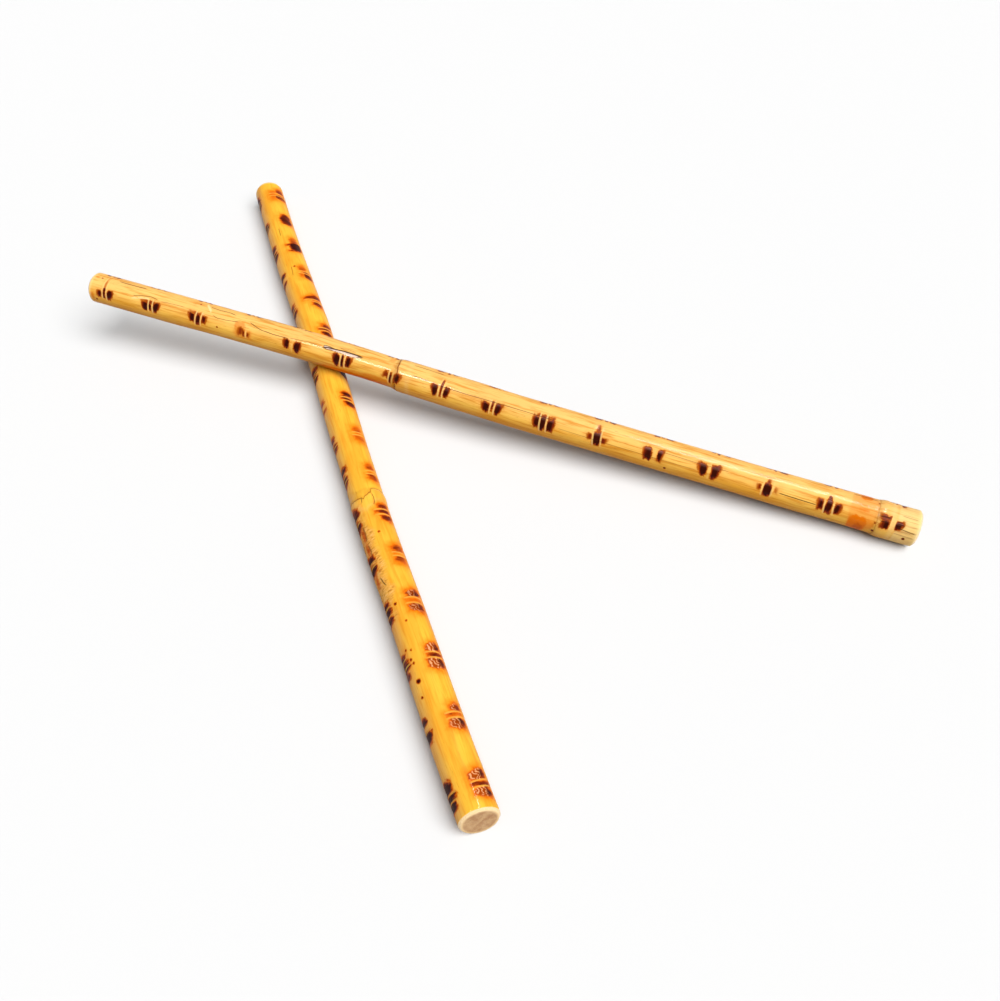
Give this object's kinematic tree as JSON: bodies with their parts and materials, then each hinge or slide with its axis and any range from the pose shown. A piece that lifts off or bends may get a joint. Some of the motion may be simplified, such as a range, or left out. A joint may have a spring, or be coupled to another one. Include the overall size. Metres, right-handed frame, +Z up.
{
  "type": "rattan training sticks",
  "caption": "Round varnished rattan canes with scorched marks in rows, lying crossed, one leaning on the other, with plain sawn ends.",
  "frame": {"origin": "on the floor, under the middle of the crossed pair's box", "axes": "+Z up from the floor; +X along the upper stick seen from above, from its tip to its butt, which rests on the floor; the lower stick's butt points towards -Y"},
  "size_m": [0.6604, 0.5222, 0.0617],
  "materials": {
    "amber_rattan": "glossy varnish over scorched rattan",
    "straw_rattan": "glossy varnish over scorched rattan"
  },
  "bodies": {
    "lower_stick": {"lower_stick": "amber_rattan"},
    "upper_stick": {"upper_stick": "straw_rattan"}
  },
  "joints": [
    {"name": "lift_upper_stick", "type": "slide", "parent": "lower_stick", "child": "upper_stick", "axis": [0, 0, 1], "range_m": [0, 0.15]}
  ]
}
